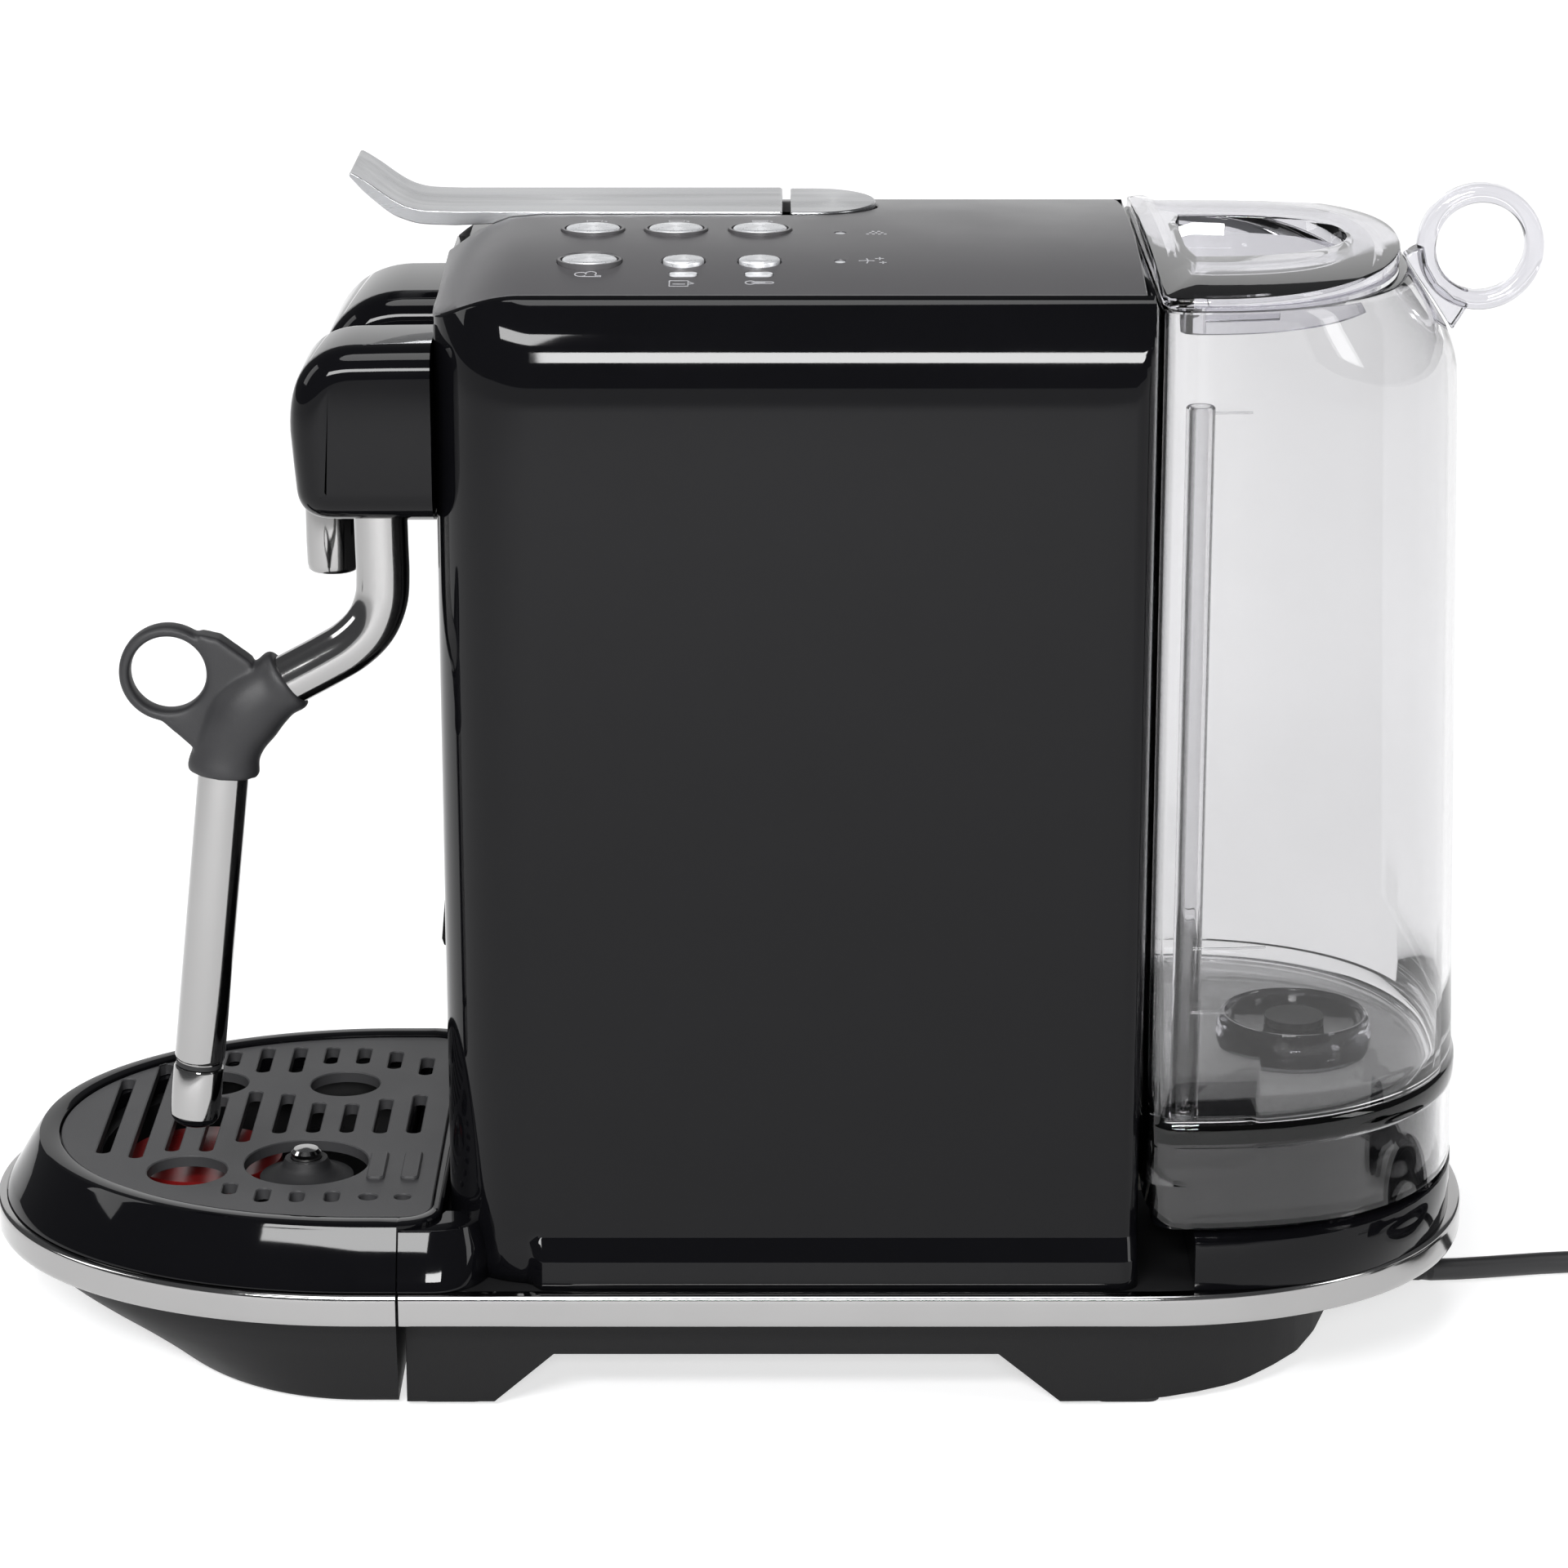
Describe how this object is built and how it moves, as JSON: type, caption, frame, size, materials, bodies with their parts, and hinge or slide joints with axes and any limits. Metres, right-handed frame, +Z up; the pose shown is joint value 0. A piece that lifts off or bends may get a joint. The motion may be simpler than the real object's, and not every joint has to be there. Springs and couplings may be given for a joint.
{
  "type": "pod coffee machine",
  "caption": "Pod coffee machine with a crowned control deck, brew lever, steam wand, slotted drip tray and a clear lift-off water tank with a carrying ring.",
  "frame": {"origin": "on the counter under the middle of the machine's length and width, the cord left out", "axes": "+X to the user's right, +Y to the back where the tank is, +Z up"},
  "size_m": [0.199, 0.534, 0.3063],
  "materials": {
    "gloss_black": "high gloss moulded",
    "matte_black": "fine texture",
    "deck_grey": "satin metallic",
    "grate_grey": "fine texture",
    "chrome": "polished",
    "steel": "satin",
    "button_metal": "circular brushed",
    "clear_plastic": "clear",
    "rubber_black": "matte",
    "silicone_grey": "matte",
    "float_red": "satin",
    "valve_grey": "satin",
    "pump_plastic": "satin",
    "boiler_metal": "cast",
    "board_green": "satin",
    "hose_white": "satin"
  },
  "bodies": {
    "root": {"base_chassis": "matte_black", "base_plate": "matte_black", "rubber_feet": "rubber_black", "base_screws": "steel", "body_band": "chrome", "casing": "gloss_black", "front_cover": "gloss_black", "top_deck": "deck_grey", "lever_channel": "matte_black", "lever_pin": "steel", "lever_rear_cap": "chrome", "button_bezels": "deck_grey", "indicator_windows": "clear_plastic", "rear_base_cover": "gloss_black", "valve_socket": "matte_black", "steam_housing": "gloss_black", "wand_pin": "steel", "brew_housing": "gloss_black", "coffee_spout": "chrome", "inner_frame": "steel", "water_pump": "pump_plastic", "coffee_boiler": "boiler_metal", "steam_boiler": "boiler_metal", "brew_chamber": "matte_black", "water_hose": "hose_white", "steam_pipe": "steel", "control_board": "board_green", "cord_gland": "matte_black", "power_cord": "rubber_black", "cord_coil": "rubber_black", "plug_body": "rubber_black", "plug_pins": "steel"},
    "lever": {"lever": "chrome"},
    "piston": {"brew_piston": "steel"},
    "tray": {"tray_housing": "gloss_black", "tray_band": "chrome", "tray_skirt": "matte_black", "drip_pan": "matte_black", "sensor_boot": "rubber_black"},
    "sensor": {"sensor_cap": "chrome"},
    "grate": {"drip_grate": "grate_grey"},
    "float": {"level_float": "float_red"},
    "wand": {"wand_upper_tube": "chrome", "wand_grip": "silicone_grey", "wand_lower_tube": "chrome", "wand_tip_seal": "rubber_black", "wand_nozzle": "chrome"},
    "bin": {"pod_bin": "matte_black"},
    "tank": {"tank": "clear_plastic", "tank_valve": "valve_grey"},
    "valve": {"valve_plunger": "float_red"},
    "lid": {"tank_lid": "clear_plastic"},
    "button_cup_small": {"button_cup_small": "button_metal"},
    "button_cup_medium": {"button_cup_medium": "button_metal"},
    "button_cup_large": {"button_cup_large": "button_metal"},
    "button_steam": {"button_steam": "button_metal"},
    "button_milk": {"button_milk": "button_metal"},
    "button_heat": {"button_heat": "button_metal"}
  },
  "joints": [
    {"name": "lever_hinge", "type": "hinge", "parent": "root", "child": "lever", "pos_m": [-0.029, 0.005, 0.292], "axis": [-1, 0, 0], "range_deg": [0, 85]},
    {"name": "piston_slide", "type": "slide", "parent": "root", "child": "piston", "axis": [0, 1, 0], "range_m": [0, 0.008]},
    {"name": "tray_slide", "type": "slide", "parent": "root", "child": "tray", "axis": [0, -1, 0], "range_m": [0, 0.12]},
    {"name": "grate_lift", "type": "slide", "parent": "tray", "child": "grate", "axis": [0, 0, 1], "range_m": [0, 0.01]},
    {"name": "float_rise", "type": "slide", "parent": "tray", "child": "float", "axis": [0, 0, 1], "range_m": [0, 0.004]},
    {"name": "sensor_press", "type": "slide", "parent": "tray", "child": "sensor", "axis": [0, 0, -1], "range_m": [0, 0.003], "stiffness_N_per_m": 300, "springref_m": -0.002},
    {"name": "wand_tilt", "type": "hinge", "parent": "root", "child": "wand", "pos_m": [0.046, -0.0925, 0.24], "axis": [-1, 0, 0], "range_deg": [0, 28]},
    {"name": "bin_slide", "type": "slide", "parent": "root", "child": "bin", "axis": [0, -1, 0], "range_m": [0, 0.07]},
    {"name": "tank_lift", "type": "slide", "parent": "root", "child": "tank", "axis": [0, 0, 1], "range_m": [0, 0.1]},
    {"name": "lid_lift", "type": "slide", "parent": "tank", "child": "lid", "axis": [0, 0, 1], "range_m": [0, 0.04]},
    {"name": "valve_slide", "type": "slide", "parent": "tank", "child": "valve", "axis": [0, 0, 1], "range_m": [0, 0.003], "stiffness_N_per_m": 200, "springref_m": -0.002},
    {"name": "button_cup_small_press", "type": "slide", "parent": "root", "child": "button_cup_small", "axis": [0, 0, -1], "range_m": [0, 0.0012], "stiffness_N_per_m": 400, "springref_m": -0.002},
    {"name": "button_cup_medium_press", "type": "slide", "parent": "root", "child": "button_cup_medium", "axis": [0, 0, -1], "range_m": [0, 0.0012], "stiffness_N_per_m": 400, "springref_m": -0.002},
    {"name": "button_cup_large_press", "type": "slide", "parent": "root", "child": "button_cup_large", "axis": [0, 0, -1], "range_m": [0, 0.0012], "stiffness_N_per_m": 400, "springref_m": -0.002},
    {"name": "button_steam_press", "type": "slide", "parent": "root", "child": "button_steam", "axis": [0, 0, -1], "range_m": [0, 0.0012], "stiffness_N_per_m": 400, "springref_m": -0.002},
    {"name": "button_milk_press", "type": "slide", "parent": "root", "child": "button_milk", "axis": [0, 0, -1], "range_m": [0, 0.0012], "stiffness_N_per_m": 400, "springref_m": -0.002},
    {"name": "button_heat_press", "type": "slide", "parent": "root", "child": "button_heat", "axis": [0, 0, -1], "range_m": [0, 0.0012], "stiffness_N_per_m": 400, "springref_m": -0.002}
  ],
  "couplings": [
    {"joint": "piston_slide", "follows": "lever_hinge", "m_per_rad": 0.0053}
  ]
}
